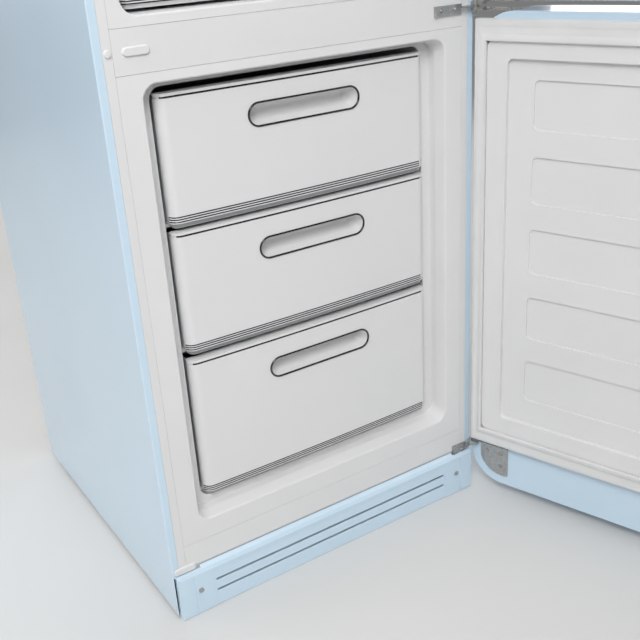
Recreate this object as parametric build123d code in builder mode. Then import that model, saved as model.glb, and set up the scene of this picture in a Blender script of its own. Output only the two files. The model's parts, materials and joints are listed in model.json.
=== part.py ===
"""Free-standing fridge-freezer, 600 mm wide: fridge above, three-drawer freezer below.

X runs to the right, Y to the back, Z up. The pieces are drawn with Y = 0 at the cabinet's front
face, X = 0 at its middle and Z = 0 at the floor, then moved by ORIGIN. Both doors hang on the
right and stand open, as the object is at rest.
"""

import math
import os

from build123d import *

os.makedirs("parts", exist_ok=True)

# Cabinet
HALF_W = 300.0
DEPTH = 610.0
TOP = 1960.0
SIDE_BOTTOM = 6.0
SHEET = 1.0
FOLD, FOLD_BOTTOM = 11.0, 77.0  # the side panels' front return: its width, where it starts
BEND = 2.2
FLANGE_HALF = 276.0  # liners' flanges end here, the white side trims begin
BAY_FRONT = 395.0  # machine bay at the bottom of the back
BAY_TOP = 236.0
LINER = 1.5

# The frame's origin: middle of the ground the whole thing covers with its doors open
ORIGIN = (150.0, 28.0)

# Freezer opening
FZ_HALF, FZ_LOW, FZ_HIGH, FZ_R = 244.0, 158.0, 812.0, 21.0
FZ_IN_HALF, FZ_IN_LOW, FZ_IN_HIGH = 239.5, 163.0, 808.0
FZ_TUB_HALF, FZ_TUB_LOW, FZ_TUB_HIGH = 223.0, 176.0, 802.0
FZ_BACK = 520.0
LIP, STEP = 20.0, 34.0  # depth of the sloped lip, depth where the liner narrows
FZ_SEAM_LOW, FZ_SEAM_HIGH = 125.5, 825.5

# Fridge opening
FR_HALF, FR_LOW, FR_HIGH, FR_R = 258.0, 894.0, 1842.0, 21.0
FR_IN_HALF, FR_IN_LOW, FR_IN_HIGH = 253.0, 894.5, 1838.0
FR_BACK = 540.0
FR_SEAM_LOW = 881.5
FR_SEAM_HIGH = 1938.0
RING = 16.0  # depth of the liners' stiff front ring
MOUTH_ROLL = 2.5

# Doors, drawn closed and swung open about the hinge line
GAP = 16.0  # door's inner face to the cabinet's front
PIN_X, PIN_Y = 297.6, -6.8
PIN_R, BUSH_R, BOSS_R = 3.0, 3.05, 6.2
OPEN_DEG = 107.7
DOOR_T, DOOR_BOW, DOOR_R = 88.0, 18.0, 46.0
CORNER = 63.0
LOWER_Z = (21.5, 846.0)
UPPER_Z = (861.0, 1960.0)
LOWER_LINER_Z = (133.0, 804.0)
UPPER_LINER_Z = (903.0, 1848.0)
SEAL_OUT, SEAL_IN = 5.5, 24.0  # gasket, from the door's vertical edges
SEAL_H = 15.5
HINGE_LOW, HINGE_MID, HINGE_HIGH = 92.0, 853.5, 1889.5

# Freezer drawers: bottom, top of the front, depth of the tub
DRAWERS = ((182.0, 413.0, 330.0), (422.0, 607.0, 430.0), (613.0, 794.0, 430.0))
PULL_DROP = (52.0, 52.0, 47.0)
DR_HALF, DR_Y, DR_BOW, DR_ROUND, DR_T = 218.0, 20.0, 3.0, 13.0, 4.0
TUB_GAP = 9.8  # from the front's corner line back to the tub
PULL_W, PULL_H, PULL_X = 184.0, 32.0, 3.0

# Fridge fittings
SHELVES = (1360.0, 1590.0)
RACK_Z = 1505.0
CRISPER_Z = (899.0, 1118.0)
CRISPER_HALF, CRISPER_Y = 244.0, 28.0
BINS = ((1150.0, 120.0), (1395.0, 95.0), (1630.0, 95.0))


def block(x0, x1, y0, y1, z0, z1, mode=Mode.ADD):
    with Locations(((x0 + x1) / 2, (y0 + y1) / 2, (z0 + z1) / 2)):
        Box(x1 - x0, y1 - y0, z1 - z0, mode=mode)


def rod(axis, at, r, length, mode=Mode.ADD):
    """A cylinder centred on at, along X, Y or Z."""
    turn = {"X": (0, 90, 0), "Y": (90, 0, 0), "Z": (0, 0, 0)}[axis]
    with Locations(Location(at, turn)):
        Cylinder(r, length, mode=mode)


def prism(half, z0, z1, r, y0, y1, mode=Mode.ADD, x=0.0):
    """A rounded rectangle in the XZ plane, from y0 back to y1."""
    with BuildSketch(Plane((x, y0, (z0 + z1) / 2), x_dir=(1, 0, 0), z_dir=(0, 1, 0))) as outline:
        RectangleRounded(2 * half, z1 - z0, r)
    extrude(outline.sketch, amount=y1 - y0, mode=mode)


def funnel(a, b, r, y0, y1, mode):
    """A rounded rectangle a = (half, z0, z1) at y0 narrowing to b at y1."""
    ends = []
    for (half, z0, z1), y, rr in ((a, y0, r), (b, y1, r - 2)):
        with BuildSketch(Plane((0, y, (z0 + z1) / 2), x_dir=(1, 0, 0), z_dir=(0, 1, 0))) as outline:
            RectangleRounded(2 * half, z1 - z0, rr)
        ends.append(outline.sketch.face())
    loft(ends, mode=mode)


def mouth_edges(builder, half, z0, z1):
    """The loop of edges round a liner's mouth, on the front face."""
    front = builder.edges().filter_by(lambda e: abs(e.center().Y) < 0.01)
    return front.filter_by(lambda e: abs(e.center().X) < half + 1 and z0 - 1 < e.center().Z < z1 + 1)


def save(shape, name):
    shape = shape.moved(Location((-ORIGIN[0], -ORIGIN[1], 0)))
    shape.label = name
    export_step(shape, f"parts/{name}.step")


def swung(part, deg=OPEN_DEG):
    return part.rotate(Axis((PIN_X, PIN_Y, 0), (0, 0, 1)), deg)


def mirrored_x(part):
    return part.mirror(Plane.YZ)


# ---------------------------------------------------------------- cabinet
with BuildPart() as side:
    block(HALF_W - SHEET, HALF_W, 0, DEPTH, SIDE_BOTTOM, TOP)
    block(HALF_W - FOLD, HALF_W - SHEET, 0, SHEET, FOLD_BOTTOM, TOP)
    with BuildSketch(Plane.XY.offset(FOLD_BOTTOM)) as bend:  # rounds the corner of the fold
        with Locations((HALF_W - BEND / 2, BEND / 2)):
            Rectangle(BEND, BEND)
        with Locations((HALF_W - BEND, BEND)):
            Circle(BEND, mode=Mode.SUBTRACT)
    extrude(bend.sketch, amount=TOP - FOLD_BOTTOM, mode=Mode.SUBTRACT)
save(side.part, "side_panel_right")
save(mirrored_x(side.part), "side_panel_left")

with BuildPart() as top_panel:
    block(-HALF_W + SHEET, HALF_W - SHEET, SHEET, DEPTH, TOP - SHEET, TOP)
    block(-HALF_W + FOLD, HALF_W - FOLD, 0, SHEET, FR_SEAM_HIGH, TOP)
save(top_panel.part, "top_panel")

with BuildPart() as back_panel:
    block(-HALF_W + SHEET, HALF_W - SHEET, DEPTH - SHEET, DEPTH, BAY_TOP, TOP - SHEET)
    for x in (-190, 0, 190):  # pressed stiffening ribs
        block(x - 12, x + 12, DEPTH, DEPTH + 2.5, 300, TOP - 60)
save(back_panel.part, "back_panel")

with BuildPart() as base_plate:
    block(-HALF_W + SHEET, HALF_W - SHEET, 4, BAY_FRONT - 2, 60, 62)
    block(-HALF_W + SHEET, HALF_W - SHEET, BAY_FRONT - 2, BAY_FRONT, 30, BAY_TOP)
    block(-HALF_W + SHEET, HALF_W - SHEET, BAY_FRONT, DEPTH - SHEET, BAY_TOP - 2, BAY_TOP)
    block(-HALF_W + SHEET, HALF_W - SHEET, BAY_FRONT, DEPTH - 20, 30, 32)
    for s in (-1, 1):  # runners that carry the feet and the rollers
        block(s * 262 - 14, s * 262 + 14, 8, 80, 56, 60)
        for x in (s * 262 - 16, s * 262 + 14):
            block(x, x + 2, DEPTH - 90, DEPTH - 30, 16, 30)
    for s in (-1, 1):
        rod("Z", (s * 262, 40, 58), 5.3, 12, Mode.SUBTRACT)
        rod("X", (s * 262, DEPTH - 60, 22), 4.05, 60, Mode.SUBTRACT)
        block(s * 262 - 13.5, s * 262 + 13.5, DEPTH - 86, DEPTH - 34, 29, 33, Mode.SUBTRACT)
save(base_plate.part, "base_plate")

with BuildPart() as insulation:
    wall = HALF_W - SHEET - 0.2
    for s in (-1, 1):
        fridge = sorted((s * wall, s * (FR_IN_HALF + LINER + 0.2)))
        freezer = sorted((s * wall, s * (FZ_TUB_HALF + LINER + 0.2)))
        block(*fridge, RING + 0.5, DEPTH - 70, FR_SEAM_LOW, FR_SEAM_HIGH)
        block(*freezer, STEP + LINER + 0.3, BAY_FRONT - 2.2, 63, 824)
        block(*freezer, BAY_FRONT - 1.8, DEPTH - 90, BAY_TOP + 0.5, 824)
    inner = FR_IN_HALF + LINER - 0.3
    block(-inner, inner, RING + 0.5, DEPTH - 70, FR_IN_HIGH + LINER + 0.2, FR_SEAM_HIGH)
    block(-inner, inner, RING + 0.5, DEPTH - 91, 824.5, FR_IN_LOW - LINER - 0.2)
    tub = FZ_TUB_HALF + LINER - 0.3
    block(-tub, tub, STEP + LINER + 0.3, BAY_FRONT - 14, 63, FZ_TUB_LOW - LINER - 0.2)
    block(-wall, wall, DEPTH - 69.5, DEPTH - SHEET - 0.2, 825, TOP - SHEET - 0.2)
    block(-wall, wall, DEPTH - 89.5, DEPTH - SHEET - 0.2, BAY_TOP + 0.5, 824.5)
save(insulation.part, "insulation")

with BuildPart() as fridge_liner:
    block(-FLANGE_HALF, FLANGE_HALF, 0, 2, FR_SEAM_LOW, FR_SEAM_HIGH)
    prism(FR_HALF + 9, FR_LOW - 9, FR_HIGH + 9, FR_R + 9, 2, RING)
    prism(FR_IN_HALF + LINER, FR_IN_LOW - LINER, FR_IN_HIGH + LINER, FR_R, RING, FR_BACK - LINER)
    inside = (FR_IN_HALF, FR_IN_LOW, FR_IN_HIGH)
    funnel((FR_HALF, FR_LOW, FR_HIGH), inside, FR_R, 0, RING, Mode.SUBTRACT)
    prism(*inside, FR_R - 2, RING, FR_BACK - 2 * LINER, Mode.SUBTRACT)
    fillet(mouth_edges(fridge_liner, FR_HALF, FR_LOW, FR_HIGH), MOUTH_ROLL)
    for z in SHELVES:  # ledges moulded into the side walls
        for s in (-1, 1):
            x = sorted((s * (FR_IN_HALF - 8), s * (FR_IN_HALF + 0.5)))
            block(*x, 136, FR_BACK - 40, z - 8, z)
    for s in (-1, 1):
        x = sorted((s * (FR_IN_HALF - 6), s * (FR_IN_HALF + 0.5)))
        block(*x, 60, FR_BACK - 20, CRISPER_Z[1] + 8, CRISPER_Z[1] + 14)
save(fridge_liner.part, "fridge_liner")

with BuildPart() as freezer_liner:
    block(-FLANGE_HALF, FLANGE_HALF, 0, 2, FZ_SEAM_LOW, FZ_SEAM_HIGH)
    prism(FZ_HALF + 9, FZ_LOW - 9, FZ_HIGH + 9, FZ_R + 9, 2, STEP + LINER)
    prism(FZ_TUB_HALF + LINER, FZ_TUB_LOW - LINER, FZ_TUB_HIGH + LINER, FZ_R, STEP, FZ_BACK - LINER)
    mid = (FZ_IN_HALF, FZ_IN_LOW, FZ_IN_HIGH)
    funnel((FZ_HALF, FZ_LOW, FZ_HIGH), mid, FZ_R, 0, LIP, Mode.SUBTRACT)
    prism(*mid, FZ_R - 2, LIP, STEP, Mode.SUBTRACT)
    fillet(mouth_edges(freezer_liner, FZ_HALF, FZ_LOW, FZ_HIGH), MOUTH_ROLL)
    prism(FZ_TUB_HALF, FZ_TUB_LOW, FZ_TUB_HIGH, FZ_R - 4, STEP, FZ_BACK - 2 * LINER, Mode.SUBTRACT)
    # the floor steps up over the machine bay
    block(-FZ_TUB_HALF - 9, FZ_TUB_HALF + 9, BAY_FRONT - 12, FZ_BACK, 140, 250, Mode.SUBTRACT)
    x = FZ_TUB_HALF + LINER
    block(-x, x, BAY_FRONT - 13.5, BAY_FRONT - 12, FZ_TUB_LOW - LINER, 251.5)
    block(-x, x, BAY_FRONT - 12, FZ_BACK - LINER, 250, 251.5)
    for low, _, deep in DRAWERS:  # runners under the drawers
        for s in (-1, 1):
            x = sorted((s * (FZ_TUB_HALF - 14), s * (FZ_TUB_HALF + 0.5)))
            block(*x, 48, 48 + deep - 30, low - 3.4, low + 2.4)
save(freezer_liner.part, "freezer_liner")

with BuildPart() as side_trims:
    for s in (-1, 1):
        x = sorted((s * (FLANGE_HALF + 0.3), s * (HALF_W - FOLD - 0.3)))
        block(*x, 0, 2, 86, FR_SEAM_HIGH - 0.4)
save(side_trims.part, "side_trims")

with BuildPart() as mullion_cover:
    block(-FLANGE_HALF, FLANGE_HALF, 0, RING, FZ_SEAM_HIGH + 0.4, FR_SEAM_LOW - 0.4)
    block(-FLANGE_HALF - 1, FLANGE_HALF + 1, 2, RING + 1, 818, 820, Mode.SUBTRACT)
    block(-FR_IN_HALF, FR_IN_HALF, 2, RING, FZ_SEAM_HIGH + 3, FR_SEAM_LOW - 3, Mode.SUBTRACT)
save(mullion_cover.part, "mullion_cover")

with BuildPart() as lower_rail:
    block(-FLANGE_HALF, FLANGE_HALF, 0, 2, 86, FZ_SEAM_LOW - 0.4)
    block(-FLANGE_HALF, FLANGE_HALF, 2, 4, 62, 110)
save(lower_rail.part, "lower_rail")

with BuildPart() as caps:
    prism(17.8, 848, 859.2, 5.5, -3.2, 0, x=-246.0)
    prism(4.6, 848.5, 859.0, 4.5, -2.6, 0, x=-282.4)
    prism(17.5, 80, 92, 3.0, -2.6, 0, x=-278.5)
    fillet(caps.edges().filter_by(lambda e: e.center().Y < -2.5), 2.0)
save(caps.part, "blanking_caps")

# Plinth: raised ends, a recessed middle with two vent slots and a sloped ledge on top
PL_HALF, PL_Y, PL_TOP = 297.0, -9.3, 79.0
with BuildPart() as plinth:
    with BuildSketch(Plane.YZ.offset(-PL_HALF)):
        with BuildLine():
            Polyline(
                (PL_Y, 0.8), (PL_Y, PL_TOP - 5), (PL_Y + 3, PL_TOP), (-0.2, PL_TOP + 4.5),
                (-0.2, PL_TOP + 2), (PL_Y + 3, PL_TOP - 4), (PL_Y + 3, 0.8), close=True,
            )
        make_face()
    extrude(amount=2 * PL_HALF)
    for s in (-1, 1):  # end returns
        x = sorted((s * PL_HALF, s * (PL_HALF - 3)))
        block(*x, PL_Y, -0.3, 0.8, PL_TOP - 2)
    block(-237, 237, PL_Y - 1, PL_Y + 1.6, 0, PL_TOP - 9, Mode.SUBTRACT)
    block(-237, 237, PL_Y + 1.6, PL_Y + 4.6, 6, PL_TOP - 9)
    for z in (28.3, 48.4):
        prism(233, z - 2.2, z + 2.2, 2.1, PL_Y - 1, PL_Y + 9, Mode.SUBTRACT)
    for s in (-1, 1):
        block(s * 270.5 - 0.8, s * 270.5 + 0.8, PL_Y - 1, PL_Y + 0.8, 0, PL_TOP - 9, Mode.SUBTRACT)
        rod("Y", (s * 260.5, PL_Y, 43), 2.1, 20, Mode.SUBTRACT)
        x = sorted((s * 255, s * 300))
        block(*x, -5.2, 1, PL_TOP + 0.5, PL_TOP + 20, Mode.SUBTRACT)
save(plinth.part, "plinth")


def screw(at, r, axis_out, length):
    """A pan-head screw whose head stands out of the face at the point at, towards -Y or +Z."""
    x, y, z = at
    if axis_out == "Y":
        rod("Y", (x, y - 0.9, z), r, 1.8)
        rod("Y", (x, y + length / 2, z), 2.0, length)
        block(x - r * 0.6, x + r * 0.6, y - 2, y - 1.1, z - 0.5, z + 0.5, Mode.SUBTRACT)
        block(x - 0.5, x + 0.5, y - 2, y - 1.1, z - r * 0.6, z + r * 0.6, Mode.SUBTRACT)
    else:
        s = 1 if axis_out == "Z" else -1
        rod("Z", (x, y, z + s * 0.6), r, 1.2)
        block(x - r * 0.6, x + r * 0.6, y - 0.5, y + 0.5, z + s * 0.8 - 0.4, z + s * 0.8 + 0.4, Mode.SUBTRACT)


FRONT_SCREWS = [(s * 260.5, PL_Y, 43, 4.2, 4.0) for s in (-1, 1)]
FRONT_SCREWS += [(x, -3, HINGE_MID - 2.4, 3.6, 2.9) for x in (236.6, 264.2)]
FRONT_SCREWS += [(x, -3, z, 3.0, 2.9) for x in (266, 280) for z in (HINGE_LOW - 9, HINGE_HIGH + 9)]
with BuildPart() as front_screws:
    for x, y, z, r, length in FRONT_SCREWS:
        screw((x, y, z), r, "Y", length)
save(front_screws.part, "front_screws")


# ---------------------------------------------------------------- hinges on the cabinet
def bracket(z, plate, pins, name):
    """Plate = (x0, x1, z0, z1) on the front face, an arm at height z out to the pin, pins = [(z0, z1)]."""
    with BuildPart() as b:
        x0, x1, z0, z1 = plate
        block(x0, x1, -3, 0, z0, z1)
        block(x0, x0 + 2.5, -6, -3, z0, z1)
        block(x1 - 5, PIN_X, PIN_Y - 4.5, -3, z - 1.25, z + 1.25)
        rod("Z", (PIN_X, PIN_Y, z), BOSS_R, 2.5)
        for p0, p1 in pins:
            rod("Z", (PIN_X, PIN_Y, (p0 + p1) / 2), PIN_R, p1 - p0)
        for x, y, sz, r, length in FRONT_SCREWS:
            if y == -3 and x0 < x < x1 and z0 < sz < z1:
                rod("Y", (x, -1.5, sz), 2.0, 4, Mode.SUBTRACT)
    save(b.part, name)


bracket(HINGE_LOW, (258.5, 289, 80, 96), [(HINGE_LOW, HINGE_LOW + 12)], "hinge_bracket_bottom")
bracket(
    HINGE_MID, (223, 274, HINGE_MID - 10, HINGE_MID + 5),
    [(HINGE_MID - 14, HINGE_MID + 14)], "hinge_bracket_middle",
)
bracket(HINGE_HIGH, (258.5, 289, HINGE_HIGH - 4, HINGE_HIGH + 15), [(HINGE_HIGH - 12, HINGE_HIGH)], "hinge_bracket_top")

# ---------------------------------------------------------------- machine bay and back
with BuildPart() as compressor:
    with BuildSketch(Plane.XY.offset(46)):
        Ellipse(74, 62)
    extrude(amount=96, taper=3)
    fillet(compressor.edges().group_by(Axis.Z)[-1], 26)
    fillet(compressor.edges().group_by(Axis.Z)[0], 12)
    block(-95, 95, -44, 44, 43, 46)
    with BuildSketch(Plane.XY.offset(92)):
        Ellipse(77, 65)
    extrude(amount=6)
COMP = (130.0, 500.0)
compressor_part = compressor.part.move(Location((COMP[0], COMP[1], 0)))
with BuildPart() as compressor_cut:
    add(compressor_part)
    for dx in (-82, 82):
        for dy in (-32, 32):
            rod("Z", (COMP[0] + dx, COMP[1] + dy, 44.5), 5.2, 8, Mode.SUBTRACT)
save(compressor_cut.part, "compressor")

with BuildPart() as compressor_feet:
    for dx in (-82, 82):
        for dy in (-32, 32):
            rod("Z", (COMP[0] + dx, COMP[1] + dy, 37.5), 10, 11)
            rod("Z", (COMP[0] + dx, COMP[1] + dy, 45), 5.0, 4)
            rod("Z", (COMP[0] + dx, COMP[1] + dy, 48.5), 8, 3)
save(compressor_feet.part, "compressor_feet")

with BuildPart() as terminal_box:
    block(COMP[0] - 118, COMP[0] - 80, COMP[1] - 30, COMP[1] + 30, 52, 118)
    fillet(terminal_box.edges().filter_by(Axis.Z), 5)
    rod("Y", (COMP[0] - 99, COMP[1] + 36, 66), 8, 14)
    rod("Y", (COMP[0] - 99, COMP[1] + 40, 66), 4.5, 20, Mode.SUBTRACT)
    with Locations((COMP[0], COMP[1], 90)):
        Cylinder(78, 120, mode=Mode.SUBTRACT)
save(terminal_box.part, "terminal_box")

with BuildPart() as drip_tray:
    block(-215, -20, 425, 575, 150, 190)
    fillet(drip_tray.edges().filter_by(Axis.Z), 14)
    offset(amount=-2, openings=drip_tray.faces().sort_by(Axis.Z)[-1])
    for x in (-200, -40):
        block(x, x + 5, 410, 425, 170, BAY_TOP - 2)
        block(x, x + 5, 420, 432, 170, 186)
save(drip_tray.part, "drip_tray")

COND_Y, COND_X, COND_LOW, COND_HIGH = DEPTH + 16.0, 232.0, 420.0, 1820.0
with BuildPart() as condenser:
    runs, step = 15, (COND_HIGH - COND_LOW) / 14
    with BuildLine() as path:
        pts = []
        for i in range(runs):
            z = COND_LOW + i * step
            ends = [(-COND_X, COND_Y, z), (COND_X, COND_Y, z)]
            pts += ends if i % 2 == 0 else ends[::-1]
        FilletPolyline(*pts, radius=24)
    with BuildSketch(Plane(pts[0], z_dir=(1, 0, 0))):
        Circle(2.4)
    sweep()
    for i in range(21):
        x = -COND_X + 22 + i * (2 * COND_X - 44) / 20
        rod("Z", (x, COND_Y + 3.2, (COND_LOW + COND_HIGH) / 2), 0.9, COND_HIGH - COND_LOW + 30)
    for s in (-1, 1):
        for z in (520, 1120, 1720):  # stand-off clips
            block(s * 228 - 6, s * 228 + 6, DEPTH, COND_Y + 3, z - 7, z + 7)
    tail = COND_Y - 2.4
    for pts in (
        ((COMP[0] + 40, COMP[1] + 40, 120), (COMP[0] + 40, 585, 120), (COMP[0] + 40, 585, 175),
         (214, 585, 175), (214, tail, 175), (214, tail, COND_LOW)),
        ((COMP[0] - 30, COMP[1] + 42, 110), (COMP[0] - 30, 592, 110), (COMP[0] - 30, 592, 205),
         (20, 592, 205), (20, DEPTH + 8, 205), (20, DEPTH + 8, 360), (20, DEPTH, 360)),
    ):
        with BuildLine() as way:
            FilletPolyline(*pts, radius=6)
        with BuildSketch(Plane(pts[0], z_dir=Vector(*pts[1]) - Vector(*pts[0]))):
            Circle(2.4)
        sweep(path=way.wire())
    add(compressor_cut.part, mode=Mode.SUBTRACT)
save(condenser.part, "condenser")

with BuildPart() as roller_shape:
    for s in (-1, 1):
        rod("X", (s * 262, DEPTH - 60, 22), 21.9, 24)
        rod("X", (s * 262, DEPTH - 60, 22), 4.0, 40)
    rod("X", (0, DEPTH - 60, 22), 3.0, 540)
save(roller_shape.part, "rear_rollers")

for s, name in ((-1, "foot_left"), (1, "foot_right")):
    with BuildPart() as foot:
        rod("Z", (s * 262, 40, 5), 20, 10)
        chamfer(foot.edges().group_by(Axis.Z)[0], 2)
        with BuildSketch(Plane((s * 262, 40, 10))):
            RegularPolygon(12, 6)
        extrude(amount=7)
        rod("Z", (s * 262, 40, 35), 5.25, 54)
    save(foot.part, name)

# ---------------------------------------------------------------- fridge fittings
with BuildPart() as evaporator_cover:
    block(-FZ_TUB_HALF + 10, FZ_TUB_HALF - 10, 492, 497, 262, 790)
    for z in (330, 440, 550, 660, 760):
        for i in range(-4, 5):
            prism(15, z - 3, z + 3, 2.9, 490, 500, Mode.SUBTRACT, x=i * 42.0)
save(evaporator_cover.part, "evaporator_cover")

for n, z in enumerate(SHELVES, 1):
    with BuildPart() as shelf:
        block(-248, 248, 134, 498, z + 0.05, z + 5)
        block(-248, 248, 126, 134, z - 5, z + 9)
        block(-248, 248, 498, 506, z + 0.05, z + 12)
        fillet(shelf.edges().filter_by(Axis.X).group_by(Axis.Y)[0], 2)
    save(shelf.part, f"shelf_{n}")

with BuildPart() as crisper_cover:
    z = CRISPER_Z[1] + 14
    block(-250, 250, 52, 520, z + 0.05, z + 5)
    block(-250, 250, 44, 52, z - 5, z + 8)
save(crisper_cover.part, "crisper_cover")

with BuildPart() as bottle_rack:
    for x in range(-240, 241, 80):
        rod("Y", (x, 316, RACK_Z), 2.5, 360)
    for y in (140, 316, 492):
        rod("X", (0, y, RACK_Z - 3.5), 2.5, 498)
save(bottle_rack.part, "bottle_rack")

with BuildPart() as lamp_lens:
    block(-90, 90, 250, 330, FR_IN_HIGH - 16, FR_IN_HIGH)
    fillet(lamp_lens.edges().group_by(Axis.Z)[0], 6)
    for i in range(-7, 8):
        block(i * 11 - 1.5, i * 11 + 1.5, 262, 318, FR_IN_HIGH - 17, FR_IN_HIGH - 14.6, Mode.SUBTRACT)
save(lamp_lens.part, "lamp_lens")

with BuildPart() as knob:
    rod("Z", (150, 290, FR_IN_HIGH - 12), 22, 20)
    for i in range(18):
        a = math.radians(20 * i)
        rod("Z", (150 + 22.5 * math.cos(a), 290 + 22.5 * math.sin(a), FR_IN_HIGH - 12), 1.4, 21, Mode.SUBTRACT)
    block(149, 151, 268, 280, FR_IN_HIGH - 23, FR_IN_HIGH - 21, Mode.SUBTRACT)
save(knob.part, "thermostat_knob")


# ---------------------------------------------------------------- drawers
def front_face(half, y, inset, back, z):
    """Plan outline of a drawer front: slightly bowed, its ends rounded back to the line y = back."""
    with BuildSketch(Plane.XY.offset(z)) as outline:
        with BuildLine():
            h, f = half - inset, y + inset
            Polyline((-h, f), (-h, back), (h, back), (h, f))
            ThreePointArc((h, f), (0, f - DR_BOW), (-h, f))
        make_face()
        fillet(outline.vertices().group_by(Axis.Y)[0], DR_ROUND - inset)
    return outline.sketch


def drawer_front(half, y, z0, z1, pull_z, pull_w, pull_h):
    """Thin front with a bead along the top, ribs along the foot and an oblong hole for the pull."""
    back = y + DR_ROUND + 4
    with BuildPart() as f:
        extrude(front_face(half, y, 0, back, z0 + 7), amount=z1 - z0 - 7)
        extrude(front_face(half, y, 0, back, z0 + 7), amount=-7, taper=32)
        extrude(front_face(half, y, DR_T, back + 9, z0 + 9), amount=z1 - z0 - 13, mode=Mode.SUBTRACT)
        block(-half + 5.7, half - 5.7, y + TUB_GAP, back + 9, z0 - 1, z1 - 7.9, Mode.SUBTRACT)
        for z, tall in ((z0 + 9, 1.1), (z0 + 12, 1.1), (z0 + 15, 1.1), (z1 - 5.8, 2.0)):
            with BuildPart(mode=Mode.PRIVATE) as groove:
                extrude(front_face(half, y, -1, back + 1, z), amount=tall)
                extrude(front_face(half, y, 1.2, back + 1, z), amount=tall, mode=Mode.SUBTRACT)
            add(groove.part, mode=Mode.SUBTRACT)
        prism(pull_w / 2, pull_z - pull_h / 2, pull_z + pull_h / 2, pull_h / 2 - 0.1,
              y - 20, y + DR_T + 2, Mode.SUBTRACT, x=PULL_X)
    return f.part


def drawer_pull(y, z, w, h, front):
    """The cup behind the oblong hole, with a thin rim in the hole."""
    with BuildPart() as c:
        prism(w / 2, z - h / 2, z + h / 2, h / 2 - 0.1, y - 12, y + 24, x=PULL_X)
        prism(w / 2 + 4, z - h / 2 - 4, z + h / 2 + 4, h / 2 + 3.9, y + 0.5, y + 24, x=PULL_X)
        prism(w / 2 - 2, z - h / 2 + 2, z + h / 2 - 2, h / 2 - 2.1, y - 14, y + 21.5, Mode.SUBTRACT, x=PULL_X)
        add(front, mode=Mode.SUBTRACT)
        block(-400, 400, y - 60, y - 2.2, z - 60, z + 60, Mode.SUBTRACT)
    return c.part


def drawer_tub(half, y0, deep, z0, z1, front, pull_space):
    with BuildPart() as t:
        block(-half, half, y0, y0 + deep, z0, z1)
        fillet(t.edges().filter_by(Axis.Z), 10)
        with BuildPart(mode=Mode.SUBTRACT):
            block(-half + 2.2, half - 2.2, y0 + 2.2, y0 + deep - 2.2, z0 + 2.2, z1 + 1)
            fillet(edges().filter_by(Axis.Z), 8)
        block(-half - 3, half + 3, y0 + 30, y0 + deep, z1 - 3, z1)
        block(-half + 2.2, half - 2.2, y0 + 2.2, y0 + deep - 2.2, z1 - 4, z1 + 1, Mode.SUBTRACT)
        add(front, mode=Mode.SUBTRACT)
        if pull_space is not None:
            add(pull_space, mode=Mode.SUBTRACT)
    return t.part


for n, (z0, z1, deep) in enumerate(DRAWERS, 1):
    pull_z = z1 - PULL_DROP[n - 1]
    front = drawer_front(DR_HALF, DR_Y, z0, z1, pull_z, PULL_W, PULL_H)
    pull = drawer_pull(DR_Y, pull_z, PULL_W, PULL_H, front)
    with BuildPart() as pull_space:
        prism(PULL_W / 2 + 4.3, pull_z - PULL_H / 2 - 4.3, pull_z + PULL_H / 2 + 4.3, 19,
              DR_Y, DR_Y + 24.3, x=PULL_X)
    tub = drawer_tub(DR_HALF - 6, DR_Y + TUB_GAP + 0.2, deep, z0 + 3, z1 - 8, front, pull_space.part)
    save(front, f"drawer_{n}_front")
    save(pull, f"drawer_{n}_pull")
    save(tub, f"drawer_{n}_tub")

CR_LOW, CR_HIGH = CRISPER_Z
front = drawer_front(CRISPER_HALF, CRISPER_Y, CR_LOW, CR_HIGH, CR_HIGH - 40, 190, 26)
save(front, "crisper_front")
tub = drawer_tub(CRISPER_HALF - 6, CRISPER_Y + TUB_GAP + 0.2, 400, CR_LOW + 1, CR_HIGH - 8, front, None)
save(tub, "crisper_tub")


# ---------------------------------------------------------------- doors
def door_body(inset, z0, z1, round_top, round_bottom):
    """The bowed door, shrunk by inset all round: plan outline met with the front outline."""
    half, y_in, y_front = HALF_W - inset, -GAP - inset, -GAP - DOOR_T + inset
    y_side = y_front + DOOR_BOW
    with BuildPart() as plan:
        with BuildSketch(Plane.XY.offset(z0 + inset)) as foot_print:
            with BuildLine():
                Polyline((-half, y_side), (-half, y_in), (half, y_in), (half, y_side))
                ThreePointArc((half, y_side), (0, y_front), (-half, y_side))
            make_face()
            fillet(foot_print.vertices().group_by(Axis.Y)[0], DOOR_R - inset)
        extrude(amount=z1 - z0 - 2 * inset)
        r = CORNER - inset
        with BuildSketch(Plane((0, 40, 0), x_dir=(1, 0, 0), z_dir=(0, -1, 0))) as outline:
            with Locations((0, (z0 + z1) / 2)):
                Rectangle(2 * half, z1 - z0 - 2 * inset)
            corners = outline.vertices().group_by(Axis.Z)
            picked = (list(corners[0]) if round_bottom else []) + (list(corners[-1]) if round_top else [])
            fillet(picked, r)
        extrude(amount=300, mode=Mode.INTERSECT)
    return plan.part


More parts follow.
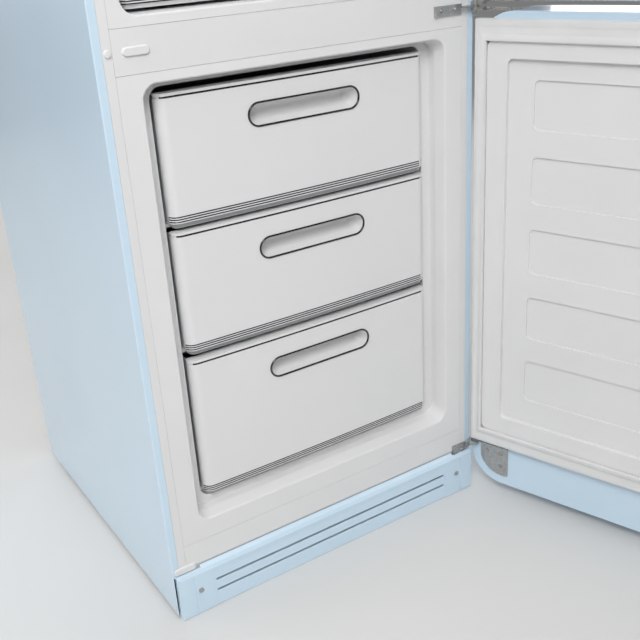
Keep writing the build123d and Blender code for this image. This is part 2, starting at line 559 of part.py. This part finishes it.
def door_set(name, z, liner_z, round_top, round_bottom, panels, bins, handle_z, hinge_lo, hinge_hi):
    z0, z1 = z
    l0, l1 = liner_z
    side = HALF_W - SEAL_IN
    outer = door_body(0, z0, z1, round_top, round_bottom)
    core = door_body(1.0, z0, z1, round_top, round_bottom)
    face = -GAP

    with BuildPart() as skin:
        add(outer)
        add(core, mode=Mode.SUBTRACT)
        block(-side, side, face - 2, face + 1, l0, l1, Mode.SUBTRACT)
    # liner: a raised frame round a sunken panel
    p_half, p0, p1 = HALF_W - 58, l0 + 31, l1 - 25
    with BuildPart() as liner_in:
        prism(side - 2, l0 + 2, l1 - 2, 8, face - 3, face + 7)
        prism(p_half + 2, p0 - 2, p1 + 2, 12, face - 1, face + 8, Mode.SUBTRACT)
    with BuildPart() as liner:
        prism(side, l0, l1, 10, face - 3, face + 9)
        prism(p_half, p0, p1, 10, face + 1, face + 10, Mode.SUBTRACT)
        add(liner_in.part, mode=Mode.SUBTRACT)
        for a, b in panels:
            prism(HALF_W - 98, a - 2, b + 2, 11, face - 4, face - 1)
            prism(HALF_W - 100, a, b, 9, face - 2, face + 2, Mode.SUBTRACT)
        for shelf_z, height in bins:  # bosses that the bins hang on
            for s in (-1, 1):
                block(s * (p_half - 8) - 6, s * (p_half - 8) + 6, face + 1, face + 26, shelf_z + 20, shelf_z + height - 10)
    with BuildPart() as foam:
        add(core)
        block(-side - 2, side + 2, face - 4.2, face + 1, l0 - 2, l1 + 2, Mode.SUBTRACT)
    with BuildPart() as gasket:
        for h0, h1, d in ((0, 4, 0.2), (4, 7.5, 6), (7.5, SEAL_H, 1)):
            prism(HALF_W - SEAL_OUT - d, l0 - 26 + d, l1 + 32 - d, 10, face + h0, face + h1)
            prism(side + d, l0 - d, l1 + d, 8, face + h0, face + h1, Mode.SUBTRACT)

    # hinge plates, with a lug that turns on each pin
    with BuildPart() as plates:
        for kind, hz in (("low", hinge_lo), ("high", hinge_hi)):
            s = 1 if kind == "low" else -1  # lug lies above the arm at the foot, below it at the head
            lug0, lug1 = sorted((hz + s * 1.6, hz + s * 6.6))
            rod("Z", (PIN_X, PIN_Y, (lug0 + lug1) / 2), BOSS_R, lug1 - lug0)
            block(PIN_X - 14, PIN_X, face, PIN_Y + 3, lug0, lug1)
            block(PIN_X - BOSS_R, PIN_X + 2.4, face, PIN_Y, lug0, lug1)
            if (kind == "low" and round_bottom) or (kind == "high" and round_top):
                # plate on the inner face, its outer edge concentric with the door's corner
                cz = z0 + CORNER if kind == "low" else z1 - CORNER
                edge = hz + s * 6.6
                with BuildSketch(Plane((0, face, 0), x_dir=(1, 0, 0), z_dir=(0, 1, 0))) as sk:
                    with Locations((HALF_W - CORNER, -cz)):
                        Circle(CORNER - 18)
                    with Locations((HALF_W - 47, -cz)):
                        Rectangle(54, 2 * abs(edge - cz), mode=Mode.ADD)
                    box_lo, box_hi = sorted((-edge, -(cz - s * 46)))
                    with Locations((HALF_W - 47, (box_lo + box_hi) / 2)):
                        Rectangle(54, box_hi - box_lo, mode=Mode.INTERSECT)
                extrude(amount=2.5)
                block(HALF_W - 74, PIN_X - 10, face, face + 5, *sorted((edge, edge - s * 2.5)))
                for dx, dz in ((32.5, 83.5), (59.5, 83.3), (59.5, 57.5)):
                    rod("Y", (HALF_W - dx, face, cz + s * (dz - 84.5)), 2.0, 8, Mode.SUBTRACT)
            else:
                # plate on the door's flat end
                e0, e1 = sorted((z1, z1 + 2) if kind == "high" else (z0 - 2, z0))
                block(HALF_W - 62, HALF_W - 4, face - 26, face, e0, e1)
                block(PIN_X - 14, PIN_X, face, PIN_Y, e0, e1)
                block(PIN_X - 14, PIN_X, face, face + 2.5, *sorted((lug0, e1 if kind == "high" else e0)))
        for hz in (hinge_lo, hinge_hi):
            rod("Z", (PIN_X, PIN_Y, hz), BUSH_R, 40, Mode.SUBTRACT)
    with BuildPart() as screws:
        for kind in ("low", "high"):
            s = 1 if kind == "low" else -1
            if (kind == "low" and round_bottom) or (kind == "high" and round_top):
                cz = z0 + CORNER if kind == "low" else z1 - CORNER
                for dx, dz in ((32.5, 83.5), (59.5, 83.3), (59.5, 57.5)):
                    x, zz = HALF_W - dx, cz + s * (dz - 84.5)
                    rod("Y", (x, face + 2.5 + 0.9, zz), 4.0, 1.8)
                    rod("Y", (x, face + 1.3, zz), 2.0, 2.6)
                    block(x - 2.6, x + 2.6, face + 3.6, face + 5, zz - 0.5, zz + 0.5, Mode.SUBTRACT)
                    block(x - 0.5, x + 0.5, face + 3.6, face + 5, zz - 2.6, zz + 2.6, Mode.SUBTRACT)
            else:
                end = z1 + 2 if kind == "high" else z0 - 2
                for dx in (20, 48):
                    screw((HALF_W - dx, face - 13, end), 4.0, "Z" if kind == "high" else "-Z", 0)

    # chrome lever on the opening side
    with BuildPart() as handle:
        y_bar = -GAP - DOOR_T - 30
        for x in (-225, -115):
            rod("Y", (x, (y_bar - GAP - 12) / 2, handle_z), 8, -GAP - 12 - y_bar)
        rod("X", (-170, y_bar, handle_z), 10.5, 190)
        for x in (-265, -75):
            with Locations((x, y_bar, handle_z)):
                Sphere(10.5)
        add(outer, mode=Mode.SUBTRACT)
        block(-400, 400, -GAP - 12, 400, handle_z - 50, handle_z + 50, Mode.SUBTRACT)
    pieces = {"skin": skin, "foam": foam, "liner": liner, "gasket": gasket, "hinge_plates": plates,
              "handle": handle}
    for key, built in pieces.items():
        save(swung(built.part), f"{name}_{key}")
    save(swung(screws.part), f"{name}_screws")
    for n, (shelf_z, height) in enumerate(bins, 1):
        with BuildPart() as bin_:
            w, y0 = p_half - 14, face + 1.0
            block(-w, w, y0, y0 + 96, shelf_z, shelf_z + height)
            fillet(bin_.edges().filter_by(Axis.Z).group_by(Axis.Y)[-1], 18)
            with BuildPart(mode=Mode.SUBTRACT):
                block(-w + 2.5, w - 2.5, y0 + 2.5, y0 + 93.5, shelf_z + 2.5, shelf_z + height + 1)
                fillet(edges().filter_by(Axis.Z).group_by(Axis.Y)[-1], 15.5)
            block(-w + 30, w - 30, y0 + 50, y0 + 100, shelf_z + height * 0.55, shelf_z + height + 1, Mode.SUBTRACT)
            rod("X", (0, y0 + 93.5, shelf_z + height - 6), 2.5, 2 * w - 2)
        save(swung(bin_.part), f"{name}_bin_{n}")


door_set("lower_door", LOWER_Z, LOWER_LINER_Z, False, True,
         [(208 + 116.4 * i, 283 + 116.4 * i) for i in range(5)], (), 765.0, HINGE_LOW, HINGE_MID)
door_set("upper_door", UPPER_Z, UPPER_LINER_Z, True, False, (), BINS, 945.0, HINGE_MID, HINGE_HIGH)
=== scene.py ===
import json
import math

import bmesh
import bpy
from mathutils import Matrix, Vector


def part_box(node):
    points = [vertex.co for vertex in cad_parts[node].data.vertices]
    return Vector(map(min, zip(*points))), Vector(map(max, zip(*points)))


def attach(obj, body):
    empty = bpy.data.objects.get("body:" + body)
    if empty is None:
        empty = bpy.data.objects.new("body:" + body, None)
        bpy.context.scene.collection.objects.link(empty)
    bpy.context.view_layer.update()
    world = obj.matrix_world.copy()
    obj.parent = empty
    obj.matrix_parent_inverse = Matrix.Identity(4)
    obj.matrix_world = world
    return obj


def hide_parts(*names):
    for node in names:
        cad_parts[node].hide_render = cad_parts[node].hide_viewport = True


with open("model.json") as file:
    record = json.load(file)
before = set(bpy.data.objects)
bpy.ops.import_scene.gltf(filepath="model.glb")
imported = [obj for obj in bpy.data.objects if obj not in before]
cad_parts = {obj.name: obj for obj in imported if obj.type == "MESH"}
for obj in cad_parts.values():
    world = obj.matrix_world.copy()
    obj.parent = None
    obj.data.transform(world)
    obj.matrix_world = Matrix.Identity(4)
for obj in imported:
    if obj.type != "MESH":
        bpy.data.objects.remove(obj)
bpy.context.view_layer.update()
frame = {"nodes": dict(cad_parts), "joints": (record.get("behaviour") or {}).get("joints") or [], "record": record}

nodes = frame["nodes"]

MM = 0.001

# The cabinet's own middle and front, which the lamps and the camera are placed from
left_side, right_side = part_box("side_panel_left"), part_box("side_panel_right")
MIDDLE_X = (left_side[0].x + right_side[1].x) / 2
FRONT_Y = left_side[0].y

# How the doors stand open at rest: a turn about the line of their pins
OPEN_ANGLE = math.radians(107.7)
PIN = Vector(next(j["pos_m"] for j in frame["joints"] if j["name"] == "lower_door_hinge"))
SWING = Matrix.Translation(PIN) @ Matrix.Rotation(OPEN_ANGLE, 4, "Z") @ Matrix.Translation(-PIN)


# ---------------------------------------------------------------- materials
NOISE_SPAN = (0.15, 0.85)  # the noise values that a material's two ends are put at


def srgb(r, g, b):
    """A screen colour, 0 to 255, as the linear colour that a shader takes."""
    line = [c / 255 / 12.92 if c <= 10 else ((c / 255 + 0.055) / 1.055) ** 2.4 for c in (r, g, b)]
    return (*line, 1.0)


def surface(name, colours, roughs, cloud, grain, bump, **fixed):
    """A material with clouded colour and roughness and a fine bump.

    colours and roughs are the two ends that the clouds move between. cloud and grain are the sizes,
    in metres, of the clouds and of the bump, and bump is its height. fixed holds the shader's other
    inputs, with an underscore for each space.
    """
    mat = bpy.data.materials.new(name)
    mat.use_nodes = True
    tree = mat.node_tree
    shader = tree.nodes["Principled BSDF"]
    for socket, value in fixed.items():
        shader.inputs[socket.replace("_", " ")].default_value = value
    place = tree.nodes.new("ShaderNodeTexCoord")

    def noise(size, detail):
        made = tree.nodes.new("ShaderNodeTexNoise")
        made.inputs["Scale"].default_value = 1 / size
        made.inputs["Detail"].default_value = detail
        tree.links.new(place.outputs["Object"], made.inputs["Vector"])
        return made

    clouds = noise(cloud, 1)
    ramp = tree.nodes.new("ShaderNodeValToRGB")
    for stop, at, colour in zip(ramp.color_ramp.elements, NOISE_SPAN, colours):
        stop.position = at
        stop.color = colour
    tree.links.new(clouds.outputs["Fac"], ramp.inputs["Fac"])
    tree.links.new(ramp.outputs["Color"], shader.inputs["Base Color"])
    spread = tree.nodes.new("ShaderNodeMapRange")
    for end, at, rough in zip(("Min", "Max"), NOISE_SPAN, roughs):
        spread.inputs[f"From {end}"].default_value = at
        spread.inputs[f"To {end}"].default_value = rough
    tree.links.new(noise(cloud / 3, 2).outputs["Fac"], spread.inputs["Value"])
    tree.links.new(spread.outputs["Result"], shader.inputs["Roughness"])
    relief = tree.nodes.new("ShaderNodeBump")
    relief.inputs["Strength"].default_value = 1.0
    relief.inputs["Distance"].default_value = bump
    tree.links.new(noise(grain, 3).outputs["Fac"], relief.inputs["Height"])
    tree.links.new(relief.outputs["Normal"], shader.inputs["Normal"])
    return mat


MATERIALS = {
    "blue_enamel": surface("blue_enamel", (srgb(205, 227, 243), srgb(210, 231, 247)), (0.16, 0.22),
                           0.25, 0.004, 0.000004, Coat_Weight=0.5, Coat_Roughness=0.05),
    "white_liner": surface("white_liner", (srgb(226, 226, 226), srgb(232, 232, 232)), (0.32, 0.42),
                           0.2, 0.0012, 0.000006, Specular_IOR_Level=0.45),
    "white_trim": surface("white_trim", (srgb(225, 225, 225), srgb(231, 231, 231)), (0.30, 0.40),
                          0.15, 0.001, 0.000006),
    "drawer_white": surface("drawer_white", (srgb(226, 226, 226), srgb(229, 229, 229)), (0.28, 0.32),
                            0.3, 0.0014, 0.000003),
    "clear_tub": surface("clear_tub", (srgb(204, 213, 218), srgb(213, 221, 225)), (0.25, 0.35),
                         0.1, 0.002, 0.00001, Coat_Weight=0.3),
    "clear_bin": surface("clear_bin", (srgb(226, 234, 238), srgb(233, 240, 243)), (0.06, 0.12),
                         0.1, 0.003, 0.00001, Transmission_Weight=0.85, IOR=1.45),
    "foam": surface("foam", (srgb(222, 205, 150), srgb(236, 222, 175)), (0.85, 0.95),
                    0.02, 0.001, 0.0002),
    "gasket": surface("gasket", (srgb(222, 222, 222), srgb(228, 228, 228)), (0.45, 0.55),
                      0.05, 0.0008, 0.00001),
    "steel": surface("steel", (srgb(168, 167, 166), srgb(206, 205, 203)), (0.30, 0.48),
                     0.004, 0.0006, 0.00001, Metallic=1.0),
    "galvanised": surface("galvanised", (srgb(150, 154, 158), srgb(190, 194, 198)), (0.35, 0.55),
                          0.012, 0.004, 0.00002, Metallic=1.0),
    "chrome": surface("chrome", (srgb(222, 222, 222), srgb(234, 234, 234)), (0.03, 0.07),
                      0.05, 0.01, 0.000003, Metallic=1.0),
    # smoked_chrome: dark metal for the fronts' lines and the pull rings, dark partly as painted shade of the
    # grooves and gaps they fill
    "smoked_chrome": surface("smoked_chrome", (srgb(66, 66, 67), srgb(92, 92, 93)), (0.10, 0.20),
                             0.05, 0.01, 0.000003, Metallic=1.0),
    "black_paint": surface("black_paint", (srgb(22, 22, 23), srgb(32, 32, 33)), (0.28, 0.40),
                           0.03, 0.001, 0.00002),
    "black_plastic": surface("black_plastic", (srgb(28, 28, 29), srgb(38, 38, 39)), (0.45, 0.60),
                             0.02, 0.0008, 0.00003),
    # grey_plastic also colours the painted shade band on the drawers' set-back foot
    "grey_plastic": surface("grey_plastic", (srgb(140, 142, 144), srgb(150, 152, 154)), (0.40, 0.50),
                            0.02, 0.0008, 0.00002),
    "glass": surface("glass", (srgb(214, 232, 228), srgb(222, 238, 234)), (0.02, 0.05),
                     0.1, 0.01, 0.000002, Transmission_Weight=0.9, IOR=1.5),
    "black_rubber": surface("black_rubber", (srgb(24, 24, 24), srgb(34, 34, 34)), (0.65, 0.80),
                            0.01, 0.0008, 0.00003),
    "lens": surface("lens", (srgb(238, 238, 232), srgb(244, 244, 240)), (0.25, 0.35),
                    0.02, 0.001, 0.00002, Transmission_Weight=0.6, IOR=1.45),
}

slot_of = {s["node"]: s["material_slot"] for s in frame["record"]["subparts"]}
for name, obj in nodes.items():
    for i in range(len(obj.data.materials)):
        obj.data.materials[i] = MATERIALS[slot_of[name]]


# ---------------------------------------------------------------- pieces
def closed_box(node):
    """A door node's lowest and highest corners with its door shut."""
    shut = SWING.inverted()
    points = [shut @ v.co for v in nodes[node].data.vertices]
    lows = Vector(min(p[i] for p in points) for i in range(3))
    highs = Vector(max(p[i] for p in points) for i in range(3))
    return lows, highs


def loft(name, rings, material, body, sharp, closed=True, place=None):
    """A piece skinned over rings of equally many points, riding on body.

    A closed one joins its last ring to its first, and any other has its two end rings filled in.
    Edges that turn more than sharp degrees stay sharp.
    """
    shell = bmesh.new()
    grid = [[shell.verts.new(place @ Vector(p) if place else Vector(p)) for p in ring] for ring in rings]
    count = len(rings[0])
    for a, b in zip(grid, grid[1:] + grid[:1] if closed else grid[1:]):
        for i in range(count):
            shell.faces.new((a[i], a[(i + 1) % count], b[(i + 1) % count], b[i]))
    if not closed:
        shell.faces.new(grid[0][::-1])
        shell.faces.new(grid[-1])
    bmesh.ops.recalc_face_normals(shell, faces=shell.faces)
    mesh = bpy.data.meshes.new(name)
    shell.to_mesh(mesh)
    shell.free()
    for face in mesh.polygons:
        face.use_smooth = True
    mesh.materials.append(MATERIALS[material])
    obj = bpy.data.objects.new(name, mesh)
    bpy.context.scene.collection.objects.link(obj)
    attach(obj, body)
    if sharp:
        keep_edges(obj, sharp)
    return obj


def keep_edges(obj, degrees):
    """Marks the edges that turn more than this as sharp."""
    limit = math.cos(math.radians(degrees))
    shell = bmesh.new()
    shell.from_mesh(obj.data)
    for edge in shell.edges:
        if len(edge.link_faces) == 2:
            a, b = (f.normal for f in edge.link_faces)
            edge.smooth = a.dot(b) > limit
    shell.to_mesh(obj.data)
    shell.free()


def oblong(half_w, half_h):
    """Points round an upright slot shape with round ends, as (x, z) from its middle."""
    straight = half_w - half_h
    turns = [math.pi * i / END_STEPS for i in range(END_STEPS + 1)]
    right = [(straight + half_h * math.sin(t), half_h * math.cos(t)) for t in turns]
    return right + [(-x, -z) for x, z in right]


# ---------------------------------------------------------------- drawers
BOW = 3.0 * MM  # how far a drawer front's middle stands out past its ends
CORNER = 13 * MM  # radius of a drawer front's upright corners
FACE_STEPS, CORNER_STEPS = 16, 6  # pieces that a front's face and its corners are cut into

# Dark smoked chrome lines fill the fronts' grooves; their darkness is partly the metal's own colour and partly
# painted shade of the grooves.
LINE_IN, LINE_EDGE, LINE_CROWN = -1.0 * MM, 0.15 * MM, 0.45 * MM  # a dark line's depth and faces
TOP_LINE, TOP_LINE_TALL = 6.1 * MM, 2.5 * MM  # its foot below the front's top edge, its height
FOOT_LINE_TALL = 1.7 * MM
DRAWER_LINES = (8.4, 11.8, 15.1)  # mm above the front's lower edge
CRISPER_LINES = (5.2, 8.5, 11.8, 15.1, 18.4)
# The painted shade band under the foot lines: its top and foot heights, how far back its foot sits, its thickness,
# how far it stands out
BAND_TOP, BAND_FOOT, BAND_BACK, BAND_THICK = 6.7 * MM, 1.0 * MM, 3.4 * MM, 1.0 * MM
BAND_PROUD = 0.1 * MM
TOP_ENDS, FOOT_ENDS, BAND_ENDS = (42, 12), (80, 8), (70, 8)  # degrees round the two corners

PULL_LIP = 4 * MM  # the flange behind the front, all round the mouth
# The pull ring is dark to paint the shade of the gap round the pull.
RING_WIRE = 1.5 * MM  # half the width of the dark ring round a pull
RING_OUT = 1.1 * RING_WIRE  # how far the ring stands out of the face
RING_STEPS, BOWL_STEPS = 12, 9  # steps round the ring's wire and down the scoop
END_STEPS = 14  # steps round each end of an oblong
SCOOP_WALL = 1.6 * MM
SCOOP_FLAT = 0.5 * MM  # half the height of the flat left at the scoop's floor
SCOOP_LEAST = 0.4 * MM  # the least half height of any of its outlines
SCOOP_GAP = 0.3 * MM  # between the scoop's mouth and the hole in the front
SCOOP_BACK = 4.4 * MM  # from the front's face to where the scoop's outside starts


def front_line(node):
    """y of a drawer front's face at x, as a function, and the front's box."""
    low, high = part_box(node)
    middle, half = (low.x + high.x) / 2, (high.x - low.x) / 2
    return (lambda x: low.y + BOW * ((x - middle) / half) ** 2), low, high


def front_path(node, left, right):
    """Points along a drawer front's face, each with the way out of the face at it.

    left and right are how far round the corner at either end the path goes, in degrees.
    """
    face, low, high = front_line(node)
    middle, flat = (low.x + high.x) / 2, (high.x - low.x) / 2 - CORNER
    back = face(middle + flat) + CORNER
    xs = [middle + flat * (2 * i / FACE_STEPS - 1) for i in range(FACE_STEPS + 1)]
    path = [(x, face(x), 0, -1) for x in xs]
    for side, end in ((-1, left), (1, right)):
        for i in range(1, CORNER_STEPS + 1):
            turn = math.radians(end * i / CORNER_STEPS)
            out_x, out_y = side * math.sin(turn), -math.cos(turn)
            path.append((middle + side * flat + CORNER * out_x, back + CORNER * out_y, out_x, out_y))
    return sorted(path)


def strip(name, node, body, section, ends, material):
    """A strip laid along a drawer front; section is (out of the face, up), round its outline."""
    rings = [[(x + out * out_x, y + out * out_y, up) for out, up in section]
             for x, y, out_x, out_y in front_path(node, *ends)]
    loft(name, rings, material, body, sharp=50, closed=False)


def line_section(z, tall):
    """Section of a dark metal line that fills a groove, its face a little crowned; its darkness is partly the
    metal's own colour and partly painted shade of the groove.
    """
    return ((LINE_IN, z), (LINE_EDGE, z), (LINE_CROWN, z + 0.3 * tall), (LINE_CROWN, z + 0.7 * tall),
            (LINE_EDGE, z + tall), (LINE_IN, z + tall))


def front_lines(stem, body, ups):
    """The dark line under a front's top bead, and those along its foot at the given heights, their darkness partly
    painted shade of the grooves they fill.
    """
    node = f"{stem}_front"
    low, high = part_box(node)
    strip(f"{stem}_top_strip", node, body, line_section(high.z - TOP_LINE, TOP_LINE_TALL),
          TOP_ENDS, "smoked_chrome")
    for i, up in enumerate(ups, 1):
        strip(f"{stem}_foot_strip_{i}", node, body, line_section(low.z + up * MM, FOOT_LINE_TALL),
              FOOT_ENDS, "smoked_chrome")


def painted_shade_band(stem, body):
    """A grey band of painted shade on the slope under a freezer drawer's foot lines, where the set-back foot lies
    in shade.
    """
    node = f"{stem}_front"
    low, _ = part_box(node)
    top, foot = low.z + BAND_TOP, low.z + BAND_FOOT
    section = ((-BAND_THICK, top), (BAND_PROUD, top), (-BAND_BACK, foot), (-BAND_BACK - BAND_THICK, foot))
    strip(f"{stem}_painted_shade_band", node, body, section, BAND_ENDS, "grey_plastic")


def pull_trim(n):
    """The smooth scoop of a drawer's pull and the dark metal ring round its mouth, the ring's darkness painting
    the shade of the gap between pull and front.
    """
    face, _, _ = front_line(f"drawer_{n}_front")
    low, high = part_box(f"drawer_{n}_pull")
    half_w, half_h = (high.x - low.x) / 2 - PULL_LIP, (high.z - low.z) / 2 - PULL_LIP
    cx, cz = (low.x + high.x) / 2, (low.z + high.z) / 2
    deep = high.y - face(cx) - SCOOP_WALL

    rings = []
    for k in range(RING_STEPS):
        turn = 2 * math.pi * k / RING_STEPS
        grow = RING_WIRE * math.cos(turn)
        out = RING_OUT * math.sin(turn)
        rings.append([(cx + x, face(cx + x) - out, cz + z)
                      for x, z in oblong(half_w + grow, half_h + grow)])
    loft(f"drawer_{n}_pull_ring", rings, "smoked_chrome", f"drawer_{n}", sharp=None)

    def bowl(size, depth, back):
        """Rings of one side of the scoop, size larger than the mouth, from back to back + depth."""
        made = []
        for k in range(BOWL_STEPS + 1):
            t = math.pi / 2 * k / BOWL_STEPS
            inset = (half_h - SCOOP_FLAT) * (1 - math.cos(t))
            outline = oblong(half_w - inset + size, max(half_h - inset + size, SCOOP_LEAST))
            made.append([(cx + x, face(cx + x) + back + depth * math.sin(t), cz + z) for x, z in outline])
        return made

    inner = bowl(-SCOOP_GAP, deep, 0)
    outer = bowl(SCOOP_WALL, deep + SCOOP_WALL * 0.9, SCOOP_BACK)
    scoop = loft(f"drawer_{n}_scoop", outer[::-1] + inner, "drawer_white",
                 f"drawer_{n}", sharp=40, closed=False)
    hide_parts(f"drawer_{n}_pull")


# ---------------------------------------------------------------- door seals
def gasket_profile():
    """A door seal's section: (u inward from its outer edge, h out from the door), each 0 to 1."""
    fold = [(0.05, 0.0), (0.01, 0.10), (0.01, 0.20), (0.13, 0.30), (0.16, 0.38), (0.10, 0.46)]
    lip = [(0.02, 0.54), (0.0, 0.66), (0.0, 0.90), (0.02, 0.97), (0.07, 1.0)]
    side = fold + lip + [(0.30, 1.0), (0.33, 0.955), (0.37, 0.94)]
    return side + [(1 - u, h) for u, h in reversed(side)]


def seal(door):
    """The soft magnetic seal round a door's liner, with folded sides and mitred corners."""
    low, high = closed_box(f"{door}_gasket")
    inner_low, inner_high = closed_box(f"{door}_liner")
    corners = ((low.x, low.z, inner_low.x, inner_low.z), (high.x, low.z, inner_high.x, inner_low.z),
               (high.x, high.z, inner_high.x, inner_high.z), (low.x, high.z, inner_low.x, inner_high.z))
    rings = []
    for x, z, x_in, z_in in corners:
        rings.append([(x + u * (x_in - x), low.y + h * (high.y - low.y), z + u * (z_in - z))
                      for u, h in gasket_profile()])
    ring = loft(f"{door}_seal", rings, "gasket", door, sharp=50, place=SWING)
    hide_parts(f"{door}_gasket")


for n in (1, 2, 3):
    pull_trim(n)
    front_lines(f"drawer_{n}", f"drawer_{n}", DRAWER_LINES)
    painted_shade_band(f"drawer_{n}", f"drawer_{n}")
front_lines("crisper", "crisper", CRISPER_LINES)
for door in ("lower_door", "upper_door"):
    seal(door)


# ---------------------------------------------------------------- floor, light, camera
FLOOR_HALF = 12.0
SKY = 0.26  # strength of the light from all round
CAMERA_AT = (-0.6873, -1.0848, 0.9926)  # from the middle of the cabinet's front, at the floor


def area_light(name, at, target, size, power, spread=180):
    """A rectangular lamp of size metres and power watts that looks from at to target."""
    data = bpy.data.lights.new(name, "AREA")
    data.shape = "RECTANGLE"
    data.size, data.size_y = size
    data.energy = power
    data.spread = math.radians(spread)
    lamp = bpy.data.objects.new(name, data)
    lamp.location = at
    lamp.rotation_euler = (Vector(target) - Vector(at)).to_track_quat("-Z", "Y").to_euler()
    bpy.context.scene.collection.objects.link(lamp)


def floor():
    """A plain pale floor, 24 m square."""
    mesh = bpy.data.meshes.new("floor")
    grid = bmesh.new()
    bmesh.ops.create_grid(grid, x_segments=1, y_segments=1, size=FLOOR_HALF)
    grid.to_mesh(mesh)
    grid.free()
    obj = bpy.data.objects.new("floor", mesh)
    bpy.context.scene.collection.objects.link(obj)
    mesh.materials.append(surface("floor_matt", (srgb(214, 214, 213), srgb(222, 222, 221)),
                                  (0.55, 0.7), 0.6, 0.004, 0.00002))


def front_point(x, y, z):
    """A point measured from the middle of the cabinet's front, at the floor."""
    return Vector((MIDDLE_X + x, FRONT_Y + y, z))


def camera():
    """Looks down into the open freezer from the front left."""
    data = bpy.data.cameras.new("camera")
    data.lens = 51.54
    data.sensor_width = 36.0
    obj = bpy.data.objects.new("camera", data)
    heading, down, roll = math.radians(32.11), math.radians(23.89), math.radians(3.609)
    ahead = Vector((math.sin(heading) * math.cos(down), math.cos(heading) * math.cos(down),
                    -math.sin(down)))
    level = Vector((math.cos(heading), -math.sin(heading), 0))
    up = level.cross(ahead)
    turn = Matrix.Rotation(roll, 3, ahead) @ Matrix((level, up, -ahead)).transposed()
    obj.matrix_world = Matrix.Translation(front_point(*CAMERA_AT)) @ turn.to_4x4()
    bpy.context.scene.collection.objects.link(obj)
    bpy.context.scene.camera = obj


floor()
camera()
# The key lights the front and the open doors, and the others each light a side that it misses
area_light("key", front_point(-1.3, -1.7, 2.3), front_point(-0.4, 0, 0.65), (1.2, 1.2), 18,
           spread=105)
area_light("left", front_point(-1.9, 1.2, 1.7), front_point(-0.3, 0.3, 0.8), (1.4, 1.8), 12)
area_light("top", front_point(-0.4, -0.7, 3.4), front_point(0, -0.5, 0), (3.0, 3.0), 26)
area_light("right", front_point(2.8, 0.9, 1.9), front_point(0.3, 0.2, 1.0), (2.4, 2.4), 30)
area_light("back", front_point(0.4, 3.6, 1.9), front_point(0, 0.6, 1.0), (2.6, 2.4), 30)

world = bpy.data.worlds.new("studio")
world.use_nodes = True
world.node_tree.nodes["Background"].inputs["Color"].default_value = (1, 1, 1, 1)
world.node_tree.nodes["Background"].inputs["Strength"].default_value = SKY
bpy.context.scene.world = world
bpy.context.scene.view_settings.view_transform = "Standard"
